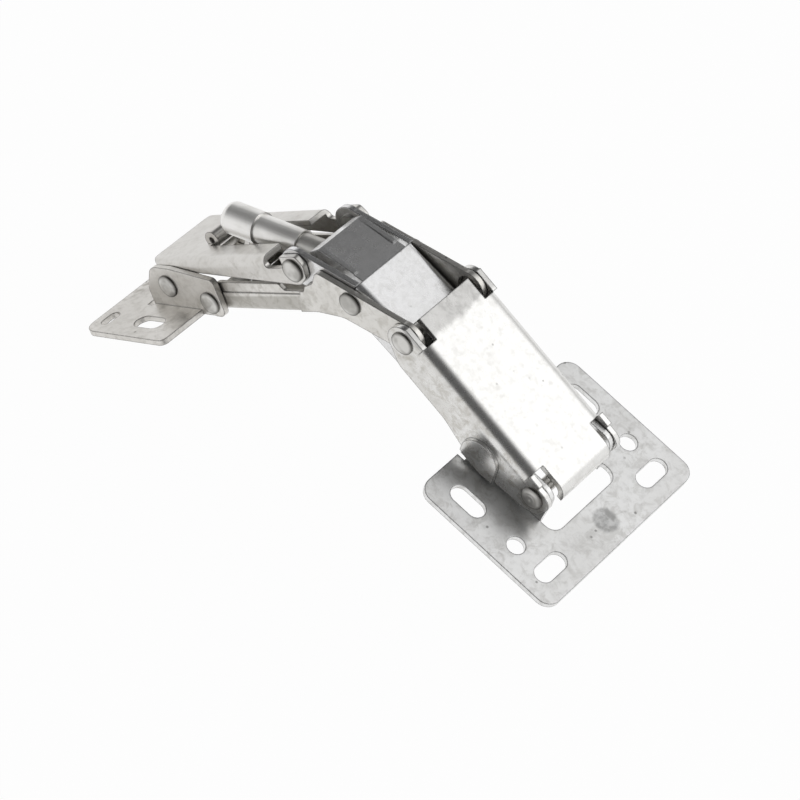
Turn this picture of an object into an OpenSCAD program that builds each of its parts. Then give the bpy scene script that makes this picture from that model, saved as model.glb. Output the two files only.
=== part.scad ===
// Concealed spring hinge of pressed steel: two plates joined by a seven-pivot lever bridge.
// The frame plate lies on Z = 0. X runs to its outer end, Y along the pins, Z out of the plate.

/* [Sheet] */
// Thickness of the pressed sheet
sheet = 1.2; // [0.9:0.05:1.4]
// Outside width over the cover arm
bridge_w = 22.5; // [21:0.1:25]
// Side gap between neighbouring flanges
layer_gap = 0.15; // [0.1:0.01:0.2]
// Outside radius of the folds
fold_r = 1.9; // [1.5:0.1:2.4]

/* [Pivots, as X and Z] */
// Upper link on the door plate
pivot_a = [-98.1, -25.2]; // [-120:0.1:20]
// Bent lever on the door plate
pivot_b = [-88.1, -19.2]; // [-120:0.1:20]
// Upper link on the inner lever
pivot_c = [-75.2, 7]; // [-120:0.1:20]
// Bent lever on the inner lever
pivot_d = [-61.6, 11.8]; // [-120:0.1:20]
// Bent lever on the cover arm
pivot_e = [-48.2, 15.8]; // [-120:0.1:20]
// Inner lever on the frame plate
pivot_f = [-23.9, 5.6]; // [-120:0.1:20]
// Cover arm on the frame plate
pivot_g = [-11.2, 7.1]; // [-120:0.1:20]
// Spring tube on the inner lever
pivot_t = [-69, 7.7]; // [-120:0.1:20]

/* [Pins] */
// Radius of the pivot pins
pin_r = 1.5; // [1.3:0.05:1.6]
// Radius of the formed pin heads
head_r = 2.45; // [2.3:0.05:2.6]
// Height of the formed pin heads
head_h = 0.75; // [0.6:0.05:0.85]
// Radial clearance of a hole that turns on its pin
run_gap = 0.05; // [0.03:0.01:0.08]
// Radial clearance of a hole that holds its pin
hold_gap = 0.01; // [0.01:0.01:0.02]
// Extra radius of the hole where the upper link hangs on the door plate
float_a = 1.35; // [1.25:0.05:1.5]
// Extra radius of the hole where the bent lever meets the cover arm
float_e = 1.1; // [1:0.05:1.2]

/* [Frame plate] */
// Width of both plates
plate_w = 46.5; // [44:0.5:52]
// Frame plate from the screw line to its outer edge
frame_out = 5.8; // [5:0.1:9]
// Frame plate from the screw line to its inner edge
frame_in = 28.1; // [27.5:0.1:30]
// Corner radius of the plates
plate_corner = 3; // [1:0.1:5]
// Spacing of the outer screw slots
slot_spacing = 32; // [31:0.1:34]
// Half width of the screw slots
slot_r = 2; // [1.7:0.05:2.3]
// Length of the screw slots
slot_len = 8; // [6:0.1:8.5]
// Inner screw slots, distance from the outer ones
inner_slot_x = 19.9; // [19:0.1:21]
// Inner screw slots and round holes, spacing
inner_slot_spacing = 35.4; // [35:0.1:36]
// Round holes, distance from the outer slots
round_hole_x = 7.5; // [7:0.1:9]
// Radius of the round holes
round_hole_r = 1.9; // [1.5:0.05:2.1]
// Outer end of the bay between the ears
bay_out = -4; // [-5:0.1:-3.8]

/* [Door plate] */
// Angle of the door plate to the frame plate, fully open
door_angle = 45; // [43:0.5:47]
// Distance of the door plate's face below its inner pivot
door_drop = 1.9; // [1.7:0.1:2.1]
// Door plate from its inner pivot to its outer edge
door_out = 28; // [27:0.1:31]
// Door plate from its inner pivot to its inner edge
door_in = 3.4; // [3:0.1:4]
// Long slots of the door plate, distance from the inner pivot
door_slot_x = 12.9; // [12.5:0.1:14]
// Cross slots of the door plate, distance from the inner pivot
door_cross_x = 24.6; // [24:0.1:25]
// Spacing of the cross slots
door_cross_spacing = 36.5; // [36:0.1:37.5]
// Half width and length of the cross slots
door_cross = [1.3, 4.6]; // [0.8:0.1:6]

/* [Levers] */
// Cover arm: web above its pivot line
cover_rise = 3.9; // [3.7:0.1:4.2]
// Cover arm: flange edge below its pivot line
cover_drop = 5.6; // [5:0.1:5.8]
// Cover arm: half width of the web between the corner notches
cover_tongue = 7.3; // [6.8:0.1:7.6]
// Upper link: slope of its web against its pivot line
link_slope = 2.9; // [2.6:0.1:3.2]
// Upper link: web above its door pivot
link_rise = 5; // [4.9:0.1:5.2]
// Upper link: rolled eye that takes the cup's push, distance from the door pivot
eye_at = 9.8; // [9:0.1:10]
// Upper link: outside radius of the rolled eye
eye_r = 1.9; // [1.7:0.1:2]
// Bent lever: flange edge above its door arm
bent_rise = 3.9; // [3.7:0.1:4]
// Bent lever: web below its door arm
bent_drop = 2.7; // [2.5:0.1:3]
// Inner lever: half width of the tongue over the spring
tongue_w = 6.4; // [6:0.1:6.6]
// Inner lever: web above its frame arm
inner_rise = 5.4; // [5:0.1:5.5]

/* [Spring cartridge] */
// Outside radius of the cup's head
head_cup_r = 3.4; // [3.35:0.05:3.5]
// Length of the cup's head
head_cup_len = 8.9; // [8:0.1:10]
// Outside radius of the cup's sleeve
sleeve_r = 3; // [2.9:0.05:3.05]
// Wall of the tube and the sleeve
tube_wall = 0.35; // [0.3:0.05:0.4]
// Length of the spring tube from its pin
tube_len = 20.5; // [19:0.5:20.5]
// Length of the spring cup
cup_len = 20; // [18:0.5:20.5]
// End of the cup over the upper link: along and above the web's direction
seat_at = [14, 9.25]; // [0:0.1:30]
// Radius of the spring wire
wire_r = 0.5; // [0.4:0.05:0.55]
// Turns of the spring
spring_turns = 9; // [6:1:12]

/* [Hidden] */
$fn = 48;
eps = 0.01;
through = 100;
steel = [0.78, 0.78, 0.76];
bright = [0.86, 0.86, 0.84];
dark_steel = [0.45, 0.45, 0.46];

// Outer half widths of the three flange layers, from the outside in
layer_1 = bridge_w/2;
layer_2 = layer_1 - sheet - layer_gap;
layer_3 = layer_2 - sheet - layer_gap;
lobe_r = head_r + 1.15;
relief = 1.5;
ear_start = 1;
emboss_wall = 0.9;
head_room = 0.35;
axial_play = 0.1;
flap_len = 9;
flap_drop = 2.8;
tongue_lip = [-1, -2.9];
eye_half = 3.4;
head_cup_end = 1.6;
dome_run = 12;
joggle = 0.25;
plan_corner = 3;
cover_fold_r = 3;
saddle = 2.6;
tuck = 0.97;
arc_steps = 6;
coil_steps = 16;
wire_sides = 6;

function angle_of(p, q) = atan2(q[1] - p[1], q[0] - p[0]);
function unit(v) = v/norm(v);
function turned(v, a) = [v[0]*cos(a) - v[1]*sin(a), v[0]*sin(a) + v[1]*cos(a)];
function local_of(p, origin, a) = turned(p - origin, -a);
function xy(p) = [p[0], p[1]];

// Points of an arc of radius r that rounds corner c between its neighbours p and q
function corner(p, c, q, r) =
    r <= 0 ? [c] :
    let (u = unit(p - c), v = unit(q - c), half = acos(u*v)/2,
         o = c + unit(u + v)*r/sin(half), s = c + u*r/tan(half), e = c + v*r/tan(half),
         a0 = angle_of(o, s), a1 = angle_of(o, e),
         sweep = a1 - a0 > 180 ? a1 - a0 - 360 : a1 - a0 < -180 ? a1 - a0 + 360 : a1 - a0)
    [for (i = [0:arc_steps]) o + r*[cos(a0 + sweep*i/arc_steps), sin(a0 + sweep*i/arc_steps)]];

// Closed outline from corners given as x, y and radius
function rounded(pts) = let (n = len(pts))
    [for (i = [0:n - 1])
        each corner(xy(pts[(i + n - 1) % n]), xy(pts[i]), xy(pts[(i + 1) % n]), pts[i][2])];

// Strip of the sheet's thickness under a line of points
function strip(top) = concat(top, [for (i = [len(top) - 1:-1:0]) top[i] - [0, sheet]]);

// Side outline given in X and Z, made into a slab between two Y positions
module slab(y0, y1) translate([0, y1, 0]) rotate([90, 0, 0]) linear_extrude(y1 - y0) children();
module flanges(outer) {
    slab(-outer, sheet - outer) children();
    slab(outer - sheet, outer) children();
}
module web(half) slab(-half, half) children();
// Frame of a piece: origin on a pivot, X turned by an angle in the side view
module piece_frame(p, a) translate([p[0], 0, p[1]]) rotate([0, -a, 0]) children();
module cross_hole(p, r) translate([p[0], 0, p[1]]) rotate([90, 0, 0]) cylinder(r = r, h = through, center = true);
// Cuts the two long outer edges of a folded web round; side is 1 for a top web and -1 for a bottom one
module fold_cut(x0, x1, half, z, side, r = fold_r) for (s = [-1, 1])
    translate([x0, s*(half - r), z - side*r]) difference() {
        translate([0, s > 0 ? 0 : -r - 1, side > 0 ? 0 : -r - 1]) cube([x1 - x0, r + 1, r + 1]);
        translate([-1, 0, 0]) rotate([0, 90, 0]) cylinder(r = r, h = x1 - x0 + 2);
    }
module slot(p, r, length, a) translate([p[0], p[1], 0]) rotate(a) {
    for (s = [-1, 1]) translate([s*(length/2 - r), 0, -through/2]) cylinder(r = r, h = through);
    translate([r - length/2, -r, -through/2]) cube([length - 2*r, 2*r, through]);
}
// Frame plate: screwed to the cabinet side, ears inside the cover arm
module frame_plate() {
    ear_x0 = ear_start - frame_in;
    ear_x1 = pivot_g[0] + lobe_r - 0.3;
    ear_top = pivot_g[1] + lobe_r - 0.6;
    color(steel) difference() {
        union() {
            difference() {
                linear_extrude(sheet) polygon(rounded([
                    [-frame_in, -plate_w/2, plate_corner], [frame_out, -plate_w/2, plate_corner],
                    [frame_out, plate_w/2, plate_corner], [-frame_in, plate_w/2, plate_corner]]));
                frame_bay(ear_x1);
                for (s = [-1, 1]) {
                    slot([0, s*slot_spacing/2], slot_r, slot_len, 90);
                    slot([-inner_slot_x, s*inner_slot_spacing/2], slot_r, slot_len, 0);
                    translate([-round_hole_x, s*inner_slot_spacing/2, -1]) cylinder(r = round_hole_r, h = 9);
                    translate([-frame_in - 1, s > 0 ? layer_2 : -layer_2 - relief, -1])
                        cube([1 + ear_start + relief/2, relief, 9]);
                }
            }
            difference() {
                flanges(layer_2) polygon(rounded([
                    [ear_x0, 0, 0], [ear_x1, 0, 0], [ear_x1, ear_top, lobe_r - 0.8],
                    [pivot_g[0] - lobe_r, ear_top, 4], [pivot_f[0] + 2, pivot_f[1] + lobe_r - 0.2, 2],
                    [ear_x0, pivot_f[1] + lobe_r - 0.2, 2.6]]));
                bay_fold_cut(ear_x0 - 1, ear_x1 + 1, layer_2 - sheet, 0);
            }
        }
        for (p = [pivot_f, pivot_g]) cross_hole(p, pin_r + hold_gap);
    }
}
module frame_bay(ear_x1) {
    half = layer_2 - sheet;
    translate([-frame_in - 1, -half, -1]) cube([frame_in + 1 + ear_x1, 2*half, 9]);
    translate([0, 0, -1]) linear_extrude(9) polygon(rounded([
        [ear_x1, -layer_2, 0.5], [bay_out, -layer_2, 2.4], [bay_out, layer_2, 2.4], [ear_x1, layer_2, 0.5]]));
}
// Rounds the lower edge where an ear folds out of its plate
module bay_fold_cut(x0, x1, inner, z) for (s = [-1, 1])
    translate([x0, s*(inner + fold_r), z + fold_r]) difference() {
        translate([0, s > 0 ? -fold_r - 1 : 0, -fold_r - 1]) cube([x1 - x0, fold_r + 1, fold_r + 1]);
        translate([-1, 0, 0]) rotate([0, 90, 0]) cylinder(r = fold_r, h = x1 - x0 + 2);
    }

// Door plate: screwed to the door, ears outside the upper link and the bent lever
module door_plate() {
    top = -door_drop;
    a = local_of(pivot_a, pivot_b, door_angle);
    ear_x0 = a[0] - lobe_r - 3;
    ear_x1 = head_r + 0.9;
    ear_low = top - sheet;
    half = layer_1 - sheet;
    color(steel) piece_frame(pivot_b, door_angle) difference() {
        union() {
            difference() {
                translate([0, 0, ear_low]) linear_extrude(sheet) polygon(rounded([
                    [-door_out, -plate_w/2, plate_corner], [-door_in, -plate_w/2, plate_corner/2],
                    [-door_in, plate_w/2, plate_corner/2], [-door_out, plate_w/2, plate_corner]]));
                translate([ear_x0 - relief, -half, ear_low - 1]) cube([door_out, 2*half, 9]);
                for (s = [-1, 1]) {
                    slot([-door_slot_x, s*inner_slot_spacing/2], slot_r, slot_len, 0);
                    slot([-door_cross_x, s*door_cross_spacing/2], door_cross[0], door_cross[1], 90);
                    translate([ear_x0 - relief, s > 0 ? half : -half - sheet - relief/2, ear_low - 1])
                        cube([relief, sheet + relief/2, 9]);
                }
            }
            difference() {
                flanges(layer_1) polygon(rounded([
                    [ear_x0, ear_low, 0], [ear_x1, ear_low, 1.6], [ear_x1, bent_rise + 1.5, 1.2],
                    [a[0] + 2, a[1] + lobe_r + 0.6, 4], [a[0] - lobe_r, a[1] + lobe_r + 0.6, 3],
                    [ear_x0, a[1] - 1, 4]]));
                bay_fold_cut(ear_x0 - 1, ear_x1 - 3, half, ear_low);
            }
        }
        cross_hole([0, 0], pin_r + hold_gap);
        cross_hole(a, pin_r + hold_gap);
    }
}

// Cover arm: wide channel over the frame plate's ears, notched at its four corners
module cover_arm() {
    tilt = angle_of(pivot_e, pivot_g);
    run = norm(pivot_g - pivot_e);
    f = local_of(pivot_f, pivot_e, tilt);
    notch_in = 3.6;
    notch_out = 3.4;
    lip = 2.6;
    dome_r = head_r + 0.95;
    dome_out = layer_1 - sheet + head_h + head_room + emboss_wall;
    slide = angle_of([0, 0], turned(f - [run, 0], 90));
    color(bright) piece_frame(pivot_e, tilt) difference() {
        union() {
            difference() {
                union() {
                    flanges(layer_1) cover_outline(run);
                    web(layer_1) polygon(strip([[-1.5, cover_rise], [run + lip - 1.6, cover_rise]]));
                    web(cover_tongue) cover_lip(run, lip);
                }
                fold_cut(notch_in, run - notch_out, layer_1, cover_rise, 1, cover_fold_r);
                for (s = [0, 1]) mirror([0, s, 0]) translate([0, cover_tongue, 0]) {
                    translate([-9, 0, lobe_r + eps]) cube([9 + notch_in, through, 9]);
                    translate([-9, 0, cover_rise - sheet - 0.2]) cube([9 + notch_in, layer_1 - sheet - cover_tongue, 9]);
                    translate([run - notch_out, 0, cover_rise - sheet - 0.2])
                        cube([9 + lip, layer_1 - sheet - cover_tongue, 9]);
                    translate([run - 0.6, 0, lobe_r - 0.4]) cube([9 + lip, through, 9]);
                }
            }
            flanges(dome_out) intersection() {
                dome_outline(f, dome_r + emboss_wall, slide);
                cover_outline(run);
            }
            for (s = [-1, 1]) slab(s > 0 ? layer_1 - sheet : -dome_out, s > 0 ? dome_out : sheet - layer_1)
                intersection() {
                    difference() {
                        dome_outline(f, dome_r + emboss_wall, slide);
                        dome_outline(f, dome_r, slide);
                    }
                    cover_outline(run);
                }
        }
        slab(emboss_wall - dome_out, dome_out - emboss_wall) dome_outline(f, dome_r, slide);
        cross_hole([0, 0], pin_r + hold_gap);
        cross_hole([run, 0], pin_r + run_gap);
    }
}
module cover_outline(run) {
    circle(r = lobe_r);
    polygon(rounded([
        [-2.4, -2.6, 1], [2.5, -cover_drop, 4], [run*0.42, -cover_drop, 9], [run*0.62, -cover_drop - 1.8, 9],
        [run*0.74, -cover_drop - 1.8, 6], [run + 0.5, -4.6, 3], [run + lobe_r, -2.4, 2],
        [run + lobe_r, 2.4, 2], [run - 0.6, cover_rise, 0.6], [2.6, cover_rise, 0.4], [1.6, 2, 1]]));
}
// Outline of the clearance emboss over the inner lever's pin, open toward the flange edge
module dome_outline(f, r, slide) translate(f) {
    circle(r = r);
    rotate(slide) translate([0, -r]) square([dome_run, 2*r]);
}
// End of the web curled down toward the frame plate
module cover_lip(run, lip) translate([run + lip - 1.6, cover_rise - lip - 0.4]) intersection() {
    difference() {
        circle(r = lip + 0.4);
        circle(r = lip + 0.4 - sheet);
    }
    square(9);
}

// Bent lever: channel open at the top, from the door plate over the crossing to the cover arm
module bent_lever() {
    tilt = angle_of(pivot_b, pivot_d);
    run = norm(pivot_d - pivot_b);
    e = local_of(pivot_e, pivot_b, tilt);
    web_end = run*0.62;
    color(steel) piece_frame(pivot_b, tilt) difference() {
        union() {
            flanges(layer_2) {
                polygon(rounded([
                    [-lobe_r, -bent_drop, 1.6], [run*0.74, -bent_drop + 0.6, 8], [run*0.91, -bent_drop - 0.5, 8],
                    [e[0] - 1.8, e[1] - 3.1, 1], [e[0] + 1.6, e[1] + 3.1, 1], [run*0.845, bent_rise + 3, 1.2],
                    [run*0.79, bent_rise + 0.4, 1.6], [run*0.725, bent_rise - 0.3, 0.6], [run*0.7, bent_rise - 1.5, 0.8],
                    [run*0.555, bent_rise - 1.5, 0.8], [run*0.53, bent_rise, 0.8], [3, bent_rise, 2], [-lobe_r, 2, 2.4]]));
                translate(e) circle(r = lobe_r);
            }
            web(layer_2) polygon(rounded([
                [0.5, -bent_drop, 0], [web_end, -bent_drop + 0.4, 0], [web_end, -bent_drop + 0.4 + sheet, 0],
                [0.5, -bent_drop + sheet, 0]]));
        }
        fold_cut(-9, web_end + 0.1, layer_2, -bent_drop, -1);
        for (s = [0, 1]) mirror([0, s, 0]) slab(layer_2 - joggle, layer_2 + 1)
            polygon([[-through, 1.4], [run*0.67, 1.8], [run*0.67, through], [-through, through]]);
        cross_hole([0, 0], pin_r + run_gap);
        cross_hole([run, 0], pin_r + run_gap);
        cross_hole(e, pin_r + float_e);
    }
}

// Inner lever: narrow channel with a tongue over the spring tube's end, its tip and sides turned down
module inner_lever() {
    tilt = angle_of(pivot_d, pivot_f);
    run = norm(pivot_f - pivot_d);
    c = local_of(pivot_c, pivot_d, tilt);
    t = local_of(pivot_t, pivot_d, tilt);
    arm = angle_of(c, [0, 0]);
    knee = [-1.5, 3.45];
    tip = [-12, -0.7];
    back = [run - 5.2, inner_rise];
    up = turned([0, tuck*(lobe_r + 0.3)], arm);
    end = [run, tuck*lobe_r];
    flap = unit(knee - tip)*flap_len;
    lip_wall = unit([-tongue_lip[1], tongue_lip[0]])*sheet;
    color(steel) piece_frame(pivot_d, tilt) difference() {
        union() {
            flanges(layer_3) {
                translate(c) circle(r = lobe_r + 0.3);
                translate([run, 0]) circle(r = lobe_r);
                polygon([c + up, up, knee, back, end, [end[0], -end[1]], -up, c - up]);
            }
            web(layer_3 - sheet + eps) polygon(strip([knee, back]));
            web(tongue_w) {
                polygon(strip([tip, knee + [1, 0.04]]));
                polygon([tip, tip + tongue_lip, tip + tongue_lip + lip_wall, tip + lip_wall]);
            }
            for (s = [-1, 1]) slab(s > 0 ? tongue_w - sheet : -tongue_w, s > 0 ? tongue_w : sheet - tongue_w)
                polygon([tip, tip + flap, tip + flap - [0, flap_drop], tip - tongue_lip*flap_drop/tongue_lip[1]]);
        }
        translate([knee[0], 0, knee[1]]) rotate([0, -angle_of(knee, back), 0])
            fold_cut(0, norm(back - knee) + 1, layer_3, 0, 1);
        for (p = [c, [0, 0], t]) cross_hole(p, pin_r + hold_gap);
        cross_hole([run, 0], pin_r + run_gap);
    }
}

// Upper link: channel with its web on top, open where the spring cartridge lies
module upper_link() {
    tilt = angle_of(pivot_a, pivot_c) - link_slope;
    c = local_of(pivot_c, pivot_a, tilt);
    web_x0 = -4.4;
    window_half = head_cup_r + 0.9;
    scallop = [c[0] - 7.8, c[0] - 2.4];
    color(steel) piece_frame(pivot_a, tilt) difference() {
        union() {
            flanges(layer_2) difference() {
                union() {
                    circle(r = lobe_r + 0.6);
                    polygon(rounded([
                        [-lobe_r, 0, 1], [3, -1.5, 1], [9.1, 2.1, 4], [c[0] + 0.4, c[1] - lobe_r + 0.25, 3],
                        [c[0] + 2.7, c[1] - 1.9, 1.2], [c[0] + 3.5, c[1] + 1, 1.4], [c[0] + 2.2, link_rise, 1.2],
                        [web_x0 + plan_corner, link_rise, 0.5], [-lobe_r - 0.4, 2, 1.5]]));
                }
                polygon(rounded([
                    [scallop[0], link_rise + 9, 0], [scallop[0], link_rise - 2.4, 1],
                    [scallop[1], link_rise - 2.4, 1], [scallop[1], link_rise + 9, 0]]));
            }
            difference() {
                web(layer_2) polygon(strip([[web_x0, link_rise], [scallop[0], link_rise]]));
                translate([eye_at, -window_half, 0]) cube([through, 2*window_half, through]);
                for (s = [0, 1]) mirror([0, s, 0]) translate([web_x0, layer_2, link_rise - sheet - 1]) web_corner();
            }
            spring_eye();
        }
        fold_cut(web_x0 - 1, scallop[0], layer_2, link_rise, 1);
        cross_hole([0, 0], pin_r + float_a);
        cross_hole(c, pin_r + run_gap);
    }
}
// Rounds a free corner of the upper link's web in plan
module web_corner() difference() {
    translate([-1, -plan_corner, 0]) cube([plan_corner + 1, plan_corner + 1, 9]);
    translate([plan_corner, -plan_corner, -1]) cylinder(r = plan_corner, h = 11);
}
// Tab rolled up from the web's window into an eye
module spring_eye() web(eye_half) translate([eye_at, link_rise - sheet + eye_r + hold_gap]) difference() {
    circle(r = eye_r);
    circle(r = eye_r - sheet);
}

// Headed pin across two flange layers
module headed_pin(p, outer) translate([p[0], 0, p[1]]) rotate([90, 0, 0]) {
    cylinder(r = pin_r, h = 2*outer, center = true);
    for (s = [0, 1]) mirror([0, 0, s]) translate([0, 0, outer]) rivet_head();
}
module rivet_head() rotate_extrude() intersection() {
    translate([0, head_h - dome_radius()]) circle(r = dome_radius(), $fn = 96);
    square([head_r, head_h]);
}
function dome_radius() = (head_r*head_r + 0.36*head_h*head_h)/(1.2*head_h);
// Short rivet through one flange of the upper link and one of the inner lever
module short_rivet(side) color(bright) translate([pivot_c[0], 0, pivot_c[1]]) rotate([90*side, 0, 0])
    translate([0, 0, layer_3 - sheet]) {
        length = layer_2 + axial_play - layer_3 + sheet;
        cylinder(r = pin_r, h = length);
        translate([0, 0, length]) rivet_head();
        mirror([0, 0, 1]) cylinder(r = head_r - 0.2, h = head_h*0.7);
    }
module door_link_pin() color(bright) headed_pin(pivot_a, layer_1);
module door_lever_pin() color(bright) headed_pin(pivot_b, layer_1);
module link_rivet_near() short_rivet(1);
module link_rivet_far() short_rivet(-1);
module crossing_pin() color(bright) headed_pin(pivot_d, layer_2 + axial_play);
module cover_lever_pin() color(bright) headed_pin(pivot_e, layer_1);
module inner_frame_pin() color(bright) headed_pin(pivot_f, layer_2);
module cover_frame_pin() color(bright) headed_pin(pivot_g, layer_1 + axial_play);
module spring_pin() color(dark_steel) translate([pivot_t[0], 0, pivot_t[1]]) rotate([90, 0, 0])
    cylinder(r = pin_r, h = 2*layer_3, center = true);

// Spring cartridge: a cup whose sleeve slides over a tube, along Z from the tube's pin to the cup's end
module cartridge_frame() {
    seat = cup_seat();
    translate([pivot_t[0], 0, pivot_t[1]]) rotate([0, 90 - angle_of(pivot_t, seat), 0]) children();
}
function cup_seat() = pivot_a + turned(seat_at, angle_of(pivot_a, pivot_c) - link_slope);
function cartridge_len() = norm(cup_seat() - pivot_t);
tube_r = sleeve_r - tube_wall - run_gap;
module spring_tube() color(bright) cartridge_frame() difference() {
    cylinder(r = tube_r, h = tube_len);
    translate([0, 0, saddle]) cylinder(r = tube_r - tube_wall, h = tube_len);
    rotate([90, 0, 0]) cylinder(r = pin_r + run_gap, h = through, center = true);
}
module spring_cup() color(bright) cartridge_frame() rotate_extrude() {
    end = cartridge_len();
    bore = sleeve_r - tube_wall;
    difference() {
        union() {
            translate([0, end - cup_len]) square([sleeve_r, cup_len - head_cup_end]);
            translate([0, end - head_cup_len]) square([head_cup_r, head_cup_len - head_cup_end]);
            translate([0, end - head_cup_end]) square([head_cup_r - head_cup_end, head_cup_end]);
            translate([head_cup_r - head_cup_end, end - head_cup_end]) circle(r = head_cup_end);
        }
        translate([0, end - cup_len - 1]) square([bore, cup_len + 1 - head_cup_end]);
        translate([-through, 0]) square([through, through]);
    }
}
// Compression spring between the tube's floor and the cup's end
module spring() color(dark_steel) cartridge_frame() {
    coil_r = tube_r - tube_wall - 2*run_gap - wire_r;
    z0 = saddle + wire_r + run_gap;
    z1 = cartridge_len() - head_cup_end - wire_r - run_gap;
    n = spring_turns*coil_steps;
    rings = [for (i = [0:n]) let (a = 360*i/coil_steps, z = z0 + (z1 - z0)*i/n)
        [for (j = [0:wire_sides - 1]) let (b = 360*j/wire_sides, r = coil_r + wire_r*cos(b))
            [r*cos(a), r*sin(a), z + wire_r*sin(b)]]];
    polyhedron(
        points = [for (ring = rings) each ring],
        faces = concat(
            [[for (j = [0:wire_sides - 1]) j]],
            [for (i = [0:n - 1], j = [0:wire_sides - 1]) let (k = (j + 1) % wire_sides)
                [i*wire_sides + j, (i + 1)*wire_sides + j, (i + 1)*wire_sides + k, i*wire_sides + k]],
            [[for (j = [wire_sides - 1:-1:0]) n*wire_sides + j]]));
}

frame_plate();
door_plate();
cover_arm();
bent_lever();
inner_lever();
upper_link();
door_link_pin();
door_lever_pin();
link_rivet_near();
link_rivet_far();
crossing_pin();
cover_lever_pin();
inner_frame_pin();
cover_frame_pin();
spring_pin();
spring_tube();
spring_cup();
spring();
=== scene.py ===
import bpy
from mathutils import Matrix, Vector


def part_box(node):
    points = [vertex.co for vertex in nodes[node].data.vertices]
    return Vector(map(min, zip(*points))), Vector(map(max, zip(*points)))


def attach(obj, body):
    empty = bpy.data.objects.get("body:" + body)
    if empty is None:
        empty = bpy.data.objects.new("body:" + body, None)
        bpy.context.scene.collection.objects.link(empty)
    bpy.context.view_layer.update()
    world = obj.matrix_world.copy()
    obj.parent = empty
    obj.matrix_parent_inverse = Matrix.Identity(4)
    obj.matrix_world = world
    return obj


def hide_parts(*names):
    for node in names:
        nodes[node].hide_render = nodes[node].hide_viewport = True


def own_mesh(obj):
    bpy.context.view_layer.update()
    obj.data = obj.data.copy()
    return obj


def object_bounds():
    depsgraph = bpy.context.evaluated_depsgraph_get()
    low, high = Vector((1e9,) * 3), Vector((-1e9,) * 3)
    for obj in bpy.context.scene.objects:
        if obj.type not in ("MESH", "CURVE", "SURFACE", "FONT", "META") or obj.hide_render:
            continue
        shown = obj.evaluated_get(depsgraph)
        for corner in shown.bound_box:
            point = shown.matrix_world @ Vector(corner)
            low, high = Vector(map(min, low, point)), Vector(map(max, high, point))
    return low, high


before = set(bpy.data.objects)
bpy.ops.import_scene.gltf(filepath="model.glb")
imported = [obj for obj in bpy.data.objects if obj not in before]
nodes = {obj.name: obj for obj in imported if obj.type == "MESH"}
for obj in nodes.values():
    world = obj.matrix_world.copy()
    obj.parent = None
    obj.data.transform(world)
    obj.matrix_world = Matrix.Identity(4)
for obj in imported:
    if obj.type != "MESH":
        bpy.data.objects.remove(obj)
cad_box = [list(corner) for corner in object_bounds()]


# Frame plate. A flat pressed-steel plate with two ears folded up out of its bay, screwed to the
# cabinet side. The sheet is sheared, folded and then plated in a barrel, so it is bright but
# cloudy, with small dark specks and a round smudge left by a press foot.
class Field:
    """One socket of a shader tree. Sums, differences and products of fields add Math nodes."""

    def __init__(self, tree, socket=None):
        self.tree, self.socket = tree, socket

    def make(self, kind, settings=None, inputs=None, out=0):
        """Adds a node, with its settings first and then the values or links of its sockets."""
        node = self.tree.nodes.new(kind)
        for key, value in (settings or {}).items():
            setattr(node, key, value)
        for key, value in (inputs or {}).items():
            if isinstance(value, Field):
                self.tree.links.new(value.socket, node.inputs[key])
            else:
                node.inputs[key].default_value = value
        return Field(self.tree, node.outputs[out] if node.outputs else None)

    def math(self, operation, *values):
        return self.make("ShaderNodeMath", {"operation": operation}, dict(enumerate(values)))

    def vector(self, operation, *values, out="Vector"):
        inputs = dict(enumerate(values))
        return self.make("ShaderNodeVectorMath", {"operation": operation}, inputs, out)

    def toward(self, direction):
        """How far this vector reaches in a direction."""
        return self.vector("DOT_PRODUCT", self, direction, out="Value")

    def __add__(self, other):
        return self.math("ADD", self, other)

    __radd__ = __add__

    def __sub__(self, other):
        return self.math("SUBTRACT", self, other)

    def __rsub__(self, other):
        return self.math("SUBTRACT", other, self)

    def __mul__(self, other):
        return self.math("MULTIPLY", self, other)

    __rmul__ = __mul__

    def between(self, low, high):
        """0 below low, 1 above high, smooth between them; the other way round if low > high."""
        limits = {"From Min": low, "From Max": high}
        settings = {"interpolation_type": "SMOOTHSTEP"}
        return self.make("ShaderNodeMapRange", settings, {"Value": self, **limits})

    def mix(self, first, second):
        """The first colour where this field is 0 and the second where it is 1."""
        colors = {0: self, 6: first, 7: second}
        return self.make("ShaderNodeMix", {"data_type": "RGBA"}, colors, out=2)


def noise(place, scale, detail=3.0, roughness=0.55, distortion=0.0):
    """Cloudy noise; its scale counts lumps along one unit, a metre unless the place is mapped."""
    sizes = {"Scale": scale, "Detail": detail, "Roughness": roughness, "Distortion": distortion}
    return place.make("ShaderNodeTexNoise", None, {"Vector": place, **sizes})


def tint(color, share=1.0):
    """A colour for a socket, darkened to a share of itself."""
    return (*[share * part for part in color], 1)


def bare_metal(name):
    """A new material, the start of its empty tree, and the place on the piece."""
    material = bpy.data.materials.new(name)
    material.use_nodes = True
    material.node_tree.nodes.clear()
    start = Field(material.node_tree)
    return material, start, start.make("ShaderNodeTexCoord", out="Object")


def soft_corners(start, radius):
    """The normal with every corner rounded to a radius, as tumbling leaves it."""
    return start.make("ShaderNodeBevel", {"samples": 6}, {"Radius": radius})


def close_metal(start, color, roughness, metallic, relief, strength, depth, normal):
    """Ends a metal's tree: its relief is a bump over the normal that is given."""
    bump = start.make("ShaderNodeBump", None, {
        "Strength": strength, "Distance": depth, "Height": relief, "Normal": normal})
    surface = start.make("ShaderNodeBsdfPrincipled", None, {
        "Base Color": color, "Roughness": roughness, "Metallic": metallic, "Normal": bump})
    start.make("ShaderNodeOutputMaterial", None, {"Surface": surface})


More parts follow.
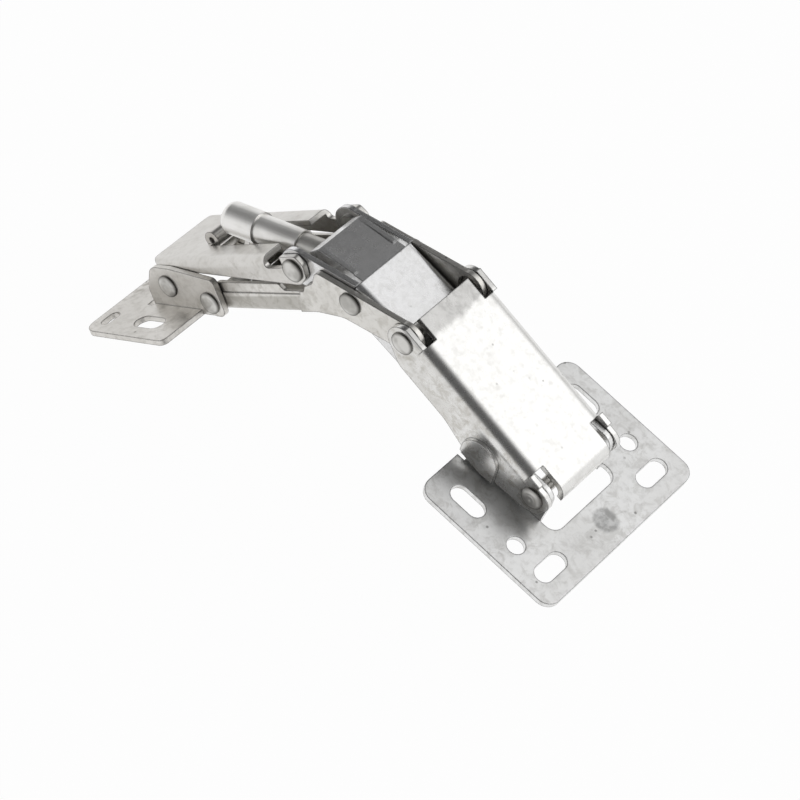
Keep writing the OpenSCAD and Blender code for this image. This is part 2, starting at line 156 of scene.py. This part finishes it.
def plated_steel(name, clean, stained, rolled=(1, 0, 0), cloud=0.5, gloss=0.30, back_stain=0.5,
                 smudge=None, shade_band=None):
    """Plated sheet: its clean and stained colours, the way it was rolled, how cloudy and how rough
    it is, and how much of the flanges' stain its other faces keep. A smudge has a centre, a radius
    and a tone. A band of painted shade has a start, two directions, how it fades in along the
    second, and a tone."""
    material, start, place = bare_metal(name)
    speck_black, shade_and_grease = (0.10, 0.095, 0.085), (0.11, 0.105, 0.095)
    corner_radius, shade_and_grease_reach = 0.00036, 0.0011

    # Soft stains of 4 to 10 mm, broken up by a fine mottle from the plating barrel.
    clouds = noise(place, 150.0, detail=5.0, roughness=0.66, distortion=0.4)
    mottle = noise(place, 700.0, detail=2.0, roughness=0.6)
    stain = (clouds + 0.30 * mottle).between(0.88 - 0.4 * cloud, 1.18 - 0.4 * cloud)
    # Rolling marks run along the sheet, about 6 mm long and 0.3 mm wide.
    turn = Vector((1, 0, 0)).rotation_difference(Vector(rolled)).to_euler()
    along = place.make("ShaderNodeMapping", {"vector_type": "TEXTURE"}, {
        "Vector": place, "Rotation": turn, "Scale": (0.02, 0.001, 0.001)})
    grain = noise(along, 3.2, detail=2.0, roughness=0.5)
    # Specks of about half a millimetre where the plating missed, some 3 mm apart and in patches.
    cells = {"Vector": place, "Scale": 330.0, "Randomness": 1.0}
    distance = place.make("ShaderNodeTexVoronoi", {"feature": "F1"}, cells, out="Distance")
    patchy = noise(place, 160.0, detail=1.0).between(0.54, 0.66)
    specks = distance.between(0.13, 0.05) * patchy

    # The flanges are handled and rubbed most, so they keep a warmer, more broken stain.
    flat = start.make("ShaderNodeNewGeometry", out="Normal")
    facing_y = flat.make("ShaderNodeSeparateXYZ", None, {"Vector": flat}, out="Y")
    flange = facing_y.math("ABSOLUTE", facing_y).between(0.6, 0.9)
    rubbed = noise(place, 420.0, detail=4.0, roughness=0.7, distortion=0.6).between(0.44, 0.66)
    kept = back_stain + (1.0 - back_stain) * flange
    color = (kept * (0.60 * stain + 0.60 * rubbed)).mix(tint(clean), tint(stained))
    broad = noise(place, 55.0, detail=2.0, roughness=0.5).between(0.42, 0.62)
    middling = [0.5 * (a + b) for a, b in zip(clean, stained)]
    color = (0.5 * broad * kept).mix(color, tint(middling))
    color = (0.14 * mottle.between(0.48, 0.72)).mix(color, tint(stained, 0.80))
    color = (0.6 * specks).mix(color, tint(speck_black))
    roughness = gloss + 0.12 * stain + 0.03 * mottle.between(0.35, 0.7)

    if smudge:
        # A ragged grey disc, patchy inside and a little rougher than the plating round it.
        offset = place.vector("DISTANCE", place, smudge["centre"], out="Value")
        ragged = offset + 0.0022 * clouds
        disc = ragged.between(1.25 * smudge["radius"], 0.95 * smudge["radius"])
        blotch = noise(place, 700.0, detail=4.0, roughness=0.7).between(0.35, 0.62)
        color = (disc * (0.36 + 0.36 * blotch)).mix(color, tint(smudge["tone"]))
        roughness = roughness + 0.08 * disc

    if shade_band:
        # A band is painted darker as shade, with a ragged end.
        across, beyond = (place.toward(shade_band[side]) - shade_band["start"].dot(shade_band[side])
                          for side in ("across", "along"))
        band = across.between(0.0, 0.0006) * (beyond + 0.004 * clouds).between(*shade_band["fade"])
        color = (band * (0.68 + 0.28 * rubbed)).mix(color, tint(shade_band["tone"]))

    # The corners are softened by tumbling, and a thin dark line of painted shade runs along the
    # sheared edges.
    soft = soft_corners(start, corner_radius)
    edge_shade = soft.toward(flat).between(0.996, 0.90)
    color = (0.88 * edge_shade).mix(color, tint(clean, 0.20))
    # Painted shade, with some grease and dust, darkens the inner corners and the sheet under the
    # heads.
    open_air = start.make("ShaderNodeAmbientOcclusion", {"samples": 6},
                          {"Distance": shade_and_grease_reach}, out="AO")
    color = (0.5 * open_air.between(0.65, 0.2)).mix(color, tint(shade_and_grease))
    relief = 0.08 * grain + 0.03 * mottle + 0.45 * clouds
    close_metal(start, color, roughness, metallic=0.92, relief=relief,
                strength=0.16, depth=0.0003, normal=soft)
    return material


def dress(material, *names):
    """Gives each named node the material all over."""
    for name in names:
        nodes[name].data.materials.clear()
        nodes[name].data.materials.append(material)


press_foot = {"centre": (0.0006, 0.0005, 0.0012), "radius": 0.0033, "tone": (0.33, 0.33, 0.325)}
dress(plated_steel("frame_plate_plating", (0.89, 0.89, 0.885), (0.52, 0.51, 0.485),
                   gloss=0.33, back_stain=0.8, smudge=press_foot), "frame_plate")


# Inner lever. A narrow channel with a tongue over the spring tube's end, turning between the
# frame plate's ears. Its back is the brightest of the inner faces.
inner_slope = (0.994, 0, -0.106)
dress(plated_steel("inner_lever_plating", (0.84, 0.84, 0.845), (0.64, 0.635, 0.62), inner_slope,
                   cloud=0.45, gloss=0.24, back_stain=0.6), "inner_lever")


# Cover arm. The widest channel, which hides the ears of the frame plate when the door is open.
# Its back is pressed smooth and stays nearly white, but for a strip at its upper end that is
# painted grey as shade; its sides keep yellowish stains.
cover_slope = (0.974, 0, -0.228)
upper_end_shade = {"start": Vector((-0.0444, 0, 0.0175)), "across": Vector((0.2289, 0, 0.9735)),
            "along": Vector((-0.9735, 0, 0.2289)), "fade": (0.0015, 0.003),
            "tone": (0.40, 0.395, 0.385)}
dress(plated_steel("cover_arm_plating", (0.83, 0.825, 0.81), (0.47, 0.445, 0.395), cover_slope,
                   gloss=0.27, back_stain=0.15, shade_band=upper_end_shade), "cover_arm")


# Bent lever and upper link. Two channels that lie over each other and carry the door plate. Both
# are warm grey from the plating bath and rubbed along their flanges, and the lower edge of the
# bent lever's door end is painted darker as shade.
lever_slope = (0.65, 0, 0.76)
lower_end_shade = {"start": Vector((-0.0708, 0, 0.0037)), "across": Vector((0.7753, 0, -0.6315)),
            "along": Vector((-0.6315, 0, -0.7753)), "fade": (0.001, 0.006),
            "tone": (0.40, 0.385, 0.35)}
dress(plated_steel("bent_lever_plating", (0.78, 0.765, 0.735), (0.47, 0.45, 0.405), lever_slope,
                   gloss=0.32, shade_band=lower_end_shade), "bent_lever")
dress(plated_steel("upper_link_plating", (0.74, 0.725, 0.70), (0.50, 0.48, 0.44), lever_slope,
                   gloss=0.30), "upper_link")


# Door plate. The second flat plate, with taller ears, screwed to the back of the door. It has
# the duller plating of the two plates.
door_slope = (0.7071, 0, 0.7071)
dress(plated_steel("door_plate_plating", (0.78, 0.76, 0.73), (0.50, 0.48, 0.44), door_slope,
                   gloss=0.34, back_stain=1.1), "door_plate")


# Pins and rivets. Drawn wire cut to length, with pale heads formed by orbital riveting, which
# leaves faint rings round each pin's own axis; the rim of each head is painted dark as shade.
# Every pin runs along Y.
def formed_rivet(name, axis_x, axis_z):
    """Riveted steel, with its rings round an axis along Y and a rim painted dark as shade."""
    material, start, place = bare_metal(name)
    clean, rubbed_bare, dome_shade = (0.68, 0.67, 0.645), (0.42, 0.41, 0.385), (0.13, 0.125, 0.115)
    dome_edge, head_edge, corner_radius = 0.0018, 0.0025, 0.0002
    centred = place.vector("SUBTRACT", place, (axis_x, 0, axis_z))
    across = place.vector("MULTIPLY", centred, (1, 0, 1))
    radius = across.vector("LENGTH", across, out="Value")
    # The rings are two thirds of a millimetre apart.
    ring_angle = radius * 9500.0
    rings = ring_angle.math("SINE", ring_angle)
    mottle = noise(place, 900.0, detail=3.0, roughness=0.6)
    worn = noise(place, 260.0, detail=2.0).between(0.42, 0.68)
    color = (0.7 * worn).mix(tint(clean), tint(rubbed_bare))
    # The outer rim of each head is painted dark as the shade of its dome.
    color = (0.9 * radius.between(dome_edge, head_edge)).mix(color, tint(dome_shade))
    roughness = 0.30 + 0.16 * worn + 0.06 * mottle
    close_metal(start, color, roughness, metallic=0.95, relief=0.25 * rings + 0.6 * mottle,
                strength=0.14, depth=0.0002, normal=soft_corners(start, corner_radius))
    return material


for pin in ("door_link_pin", "door_lever_pin", "crossing_pin", "cover_lever_pin", "inner_frame_pin",
            "cover_frame_pin", "spring_pin", "link_rivet_near", "link_rivet_far"):
    low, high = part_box(pin)
    middle = (low + high) / 2
    dress(formed_rivet(pin + "_plating", middle.x, middle.z), pin)


# Spring cartridge. The sleeve of a drawn cup slides over a tube, and a coil spring inside pushes
# the upper link away from the inner lever. Both are drawn along their length and lie bright in
# the channel, with lengthwise draw marks.
tube_pin = Vector((-0.069, 0, 0.0077))
cup_way = Vector((-0.86329, 0, -0.504709))


def drawn_steel(name, clean, stained, gloss):
    """Drawn tube or wire, with marks along the cartridge about 12 mm long and 0.4 mm wide."""
    material, start, place = bare_metal(name)
    corner_radius = 0.0002
    turn = Vector((0, 0, 1)).rotation_difference(cup_way).to_euler()
    along = place.make("ShaderNodeMapping", {"vector_type": "TEXTURE"}, {
        "Vector": place, "Location": tube_pin, "Rotation": turn, "Scale": (0.001, 0.001, 0.03)})
    marks = noise(along, 2.4, detail=3.0, roughness=0.6)
    clouds = noise(place, 140.0, detail=3.0, roughness=0.6)
    dulled = 0.8 * (clouds + 0.3 * marks).between(0.55, 0.85)
    color = dulled.mix(tint(clean), tint(stained))
    roughness = gloss + 0.12 * clouds + 0.10 * marks
    close_metal(start, color, roughness, metallic=0.95, relief=marks,
                strength=0.12, depth=0.0002, normal=soft_corners(start, corner_radius))
    return material


tube_plating = drawn_steel("spring_tube_plating", (0.60, 0.59, 0.565), (0.43, 0.42, 0.395), 0.25)
dress(tube_plating, "spring_tube")
cup_plating = drawn_steel("spring_cup_plating", (0.90, 0.89, 0.87), (0.74, 0.73, 0.70), 0.24)
dress(cup_plating, "spring_cup")


# Compression spring. Round steel wire coiled to fit inside the cartridge, left dark and oiled.
# It stands on the tube's floor at its length at rest; the real one shortens as the cup slides
# over the tube.
def coil_tree(sizes, material):
    """Geometry nodes that sweep a round wire along a spiral."""
    tree = bpy.data.node_groups.new("coil_spring", "GeometryNodeTree")
    face = tree.interface
    for label, size in sizes.items():
        face.new_socket(label, in_out="INPUT", socket_type="NodeSocketFloat").default_value = size
    face.new_socket("Geometry", in_out="OUTPUT", socket_type="NodeSocketGeometry")
    entry = tree.nodes.new("NodeGroupInput")
    leave = tree.nodes.new("NodeGroupOutput")
    spiral = tree.nodes.new("GeometryNodeCurveSpiral")
    spiral.inputs["Resolution"].default_value = 28
    wire = tree.nodes.new("GeometryNodeCurvePrimitiveCircle")
    wire.inputs["Resolution"].default_value = 12
    sweep = tree.nodes.new("GeometryNodeCurveToMesh")
    sweep.inputs["Fill Caps"].default_value = True
    real = tree.nodes.new("GeometryNodeRealizeInstances")
    paint = tree.nodes.new("GeometryNodeSetMaterial")
    paint.inputs["Material"].default_value = material
    link = tree.links.new
    link(entry.outputs["Turns"], spiral.inputs["Rotations"])
    link(entry.outputs["Coil radius"], spiral.inputs["Start Radius"])
    link(entry.outputs["Coil radius"], spiral.inputs["End Radius"])
    link(entry.outputs["Height"], spiral.inputs["Height"])
    link(entry.outputs["Wire radius"], wire.inputs["Radius"])
    link(spiral.outputs["Curve"], sweep.inputs["Curve"])
    link(wire.outputs["Curve"], sweep.inputs["Profile Curve"])
    link(sweep.outputs["Mesh"], real.inputs["Geometry"])
    link(real.outputs["Geometry"], paint.inputs["Geometry"])
    link(paint.outputs["Geometry"], leave.inputs["Geometry"])
    return tree


# Where the spring stands, past the tube's pin; its length at rest; the share of it left at the end.
spring_floor, spring_length, spring_kept = 0.00315, 0.02676, 0.68
coil_sizes = {"Wire radius": 0.00049, "Coil radius": 0.00165, "Height": spring_length, "Turns": 9.0}
oiled_wire = drawn_steel("spring_wire_oiled", (0.34, 0.34, 0.35), (0.20, 0.19, 0.18), 0.30)
maker = bpy.data.objects.new("coil_maker", bpy.data.meshes.new("coil_maker"))
bpy.context.scene.collection.objects.link(maker)
coiling = maker.modifiers.new("coil", "NODES")
coiling.node_group = coil_tree(coil_sizes, oiled_wire)
for item in coiling.node_group.interface.items_tree:
    if item.in_out == "INPUT":
        coiling[item.identifier] = coil_sizes[item.name]
shaped = maker.evaluated_get(bpy.context.evaluated_depsgraph_get())
coil_mesh = bpy.data.meshes.new_from_object(shaped)
bpy.data.objects.remove(maker)
coil_mesh.transform(Matrix.Translation(tube_pin + cup_way * spring_floor)
                    @ Vector((0, 0, 1)).rotation_difference(cup_way).to_matrix().to_4x4())
coil = bpy.data.objects.new("coil_spring", coil_mesh)
bpy.context.scene.collection.objects.link(coil)
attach(coil, "tube")
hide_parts("spring")
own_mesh(coil)


# Studio. A pale table under the hinge in a white room. The metal mirrors a dark front wall, a
# bright soft area above and behind, a glow from the right and a pale sweep low down. A large soft
# box hangs above the cover arm, and a weaker lamp stands on the right.
def light_share(tree):
    """Which rays come from the camera, from a mirroring surface or through a clear one."""
    path = tree.nodes.new("ShaderNodeLightPath")
    return [Field(tree, path.outputs[kind])
            for kind in ("Is Camera Ray", "Is Glossy Ray", "Is Transmission Ray")]


floor_gap = 0.0008
table = bpy.data.materials.new("pale_table")
table.use_nodes = True
table.node_tree.nodes.clear()
seen, mirrored, through = light_share(table.node_tree)
matt = seen.make("ShaderNodeBsdfDiffuse", None, {"Color": (0.9, 0.9, 0.9, 1)})
white = seen.make("ShaderNodeEmission", None, {"Color": (1, 1, 1, 1), "Strength": 1.0})
# The table looks white, also in the metal, and the matt rest of it keeps a faint shadow.
share = 0.97 * seen + 0.92 * mirrored + through
blend = seen.make("ShaderNodeMixShader", None, {0: share, 1: matt, 2: white})
seen.make("ShaderNodeOutputMaterial", None, {"Surface": blend})
floor_mesh = bpy.data.meshes.new("table_top")
reach, level = 2.5, cad_box[0][2] - floor_gap
floor_mesh.from_pydata([(-reach, -reach, level), (reach, -reach, level), (reach, reach, level),
                        (-reach, reach, level)], [], [(0, 1, 2, 3)])
floor_mesh.materials.append(table)
floor = bpy.data.objects.new("table_top", floor_mesh)
bpy.context.scene.collection.objects.link(floor)

world = bpy.data.worlds.new("white_room")
bpy.context.scene.world = world
world.use_nodes = True
world.node_tree.nodes.clear()
seen, mirrored, through = light_share(world.node_tree)
ray = seen.make("ShaderNodeTexCoord", out="Generated")
behind_above, right_side, upright = (0.35, 0.55, 0.76), (0.85, 0.45, 0.27), (0, 0, 1)
soft_area = ray.toward(behind_above).between(0.58, 0.98)
glow = 0.55 * ray.toward(right_side).between(0.45, 0.98)
sweep = glow + ray.toward(upright).between(0.36, 0.02)
wall = (soft_area + sweep * (1.0 - soft_area)).mix((0.07, 0.07, 0.07, 1), (1, 1, 1, 1))
tone = mirrored.mix((1, 1, 1, 1), wall)
room = seen.make("ShaderNodeBackground", None, {"Color": (1, 1, 1, 1), "Strength": 0.45})
shown = seen.make("ShaderNodeBackground", None, {"Color": tone, "Strength": 1.0})
blend = seen.make("ShaderNodeMixShader", None, {0: seen + mirrored + through, 1: room, 2: shown})
seen.make("ShaderNodeOutputWorld", None, {"Surface": blend})

target = Vector((-0.045, 0, 0.0))
for label, way_to, distance, size, power in (
        ("soft_box", (0.42, 0.45, 0.79), 0.9, 0.7, 0.7),
        ("side_fill", (0.9, 0.15, 0.4), 0.9, 0.5, 0.25)):
    lamp = bpy.data.lights.new(label, "AREA")
    lamp.shape, lamp.size, lamp.energy = "SQUARE", size, power
    stand = bpy.data.objects.new(label, lamp)
    direction = Vector(way_to).normalized()
    stand.location = target + direction * distance
    stand.rotation_euler = direction.to_track_quat("Z", "Y").to_euler()
    bpy.context.scene.collection.objects.link(stand)

view = bpy.data.cameras.new("photo_view")
view.sensor_fit, view.sensor_width, view.lens = "HORIZONTAL", 36.0, 148.5
view.clip_start, view.clip_end = 0.01, 20.0
camera = bpy.data.objects.new("photo_view", view)
stand_point = Vector((0.07079, -0.3580, 0.51748))
right = Vector((0.7238, 0.6362, 0.2672))
up = Vector((-0.666, 0.5427, 0.5118))
back = Vector((0.1806, -0.5484, 0.8165))
turned = Matrix((right, up, back)).transposed().to_4x4()
camera.matrix_world = Matrix.Translation(stand_point) @ turned
bpy.context.scene.collection.objects.link(camera)
bpy.context.scene.camera = camera
bpy.context.scene.view_settings.view_transform = "Standard"
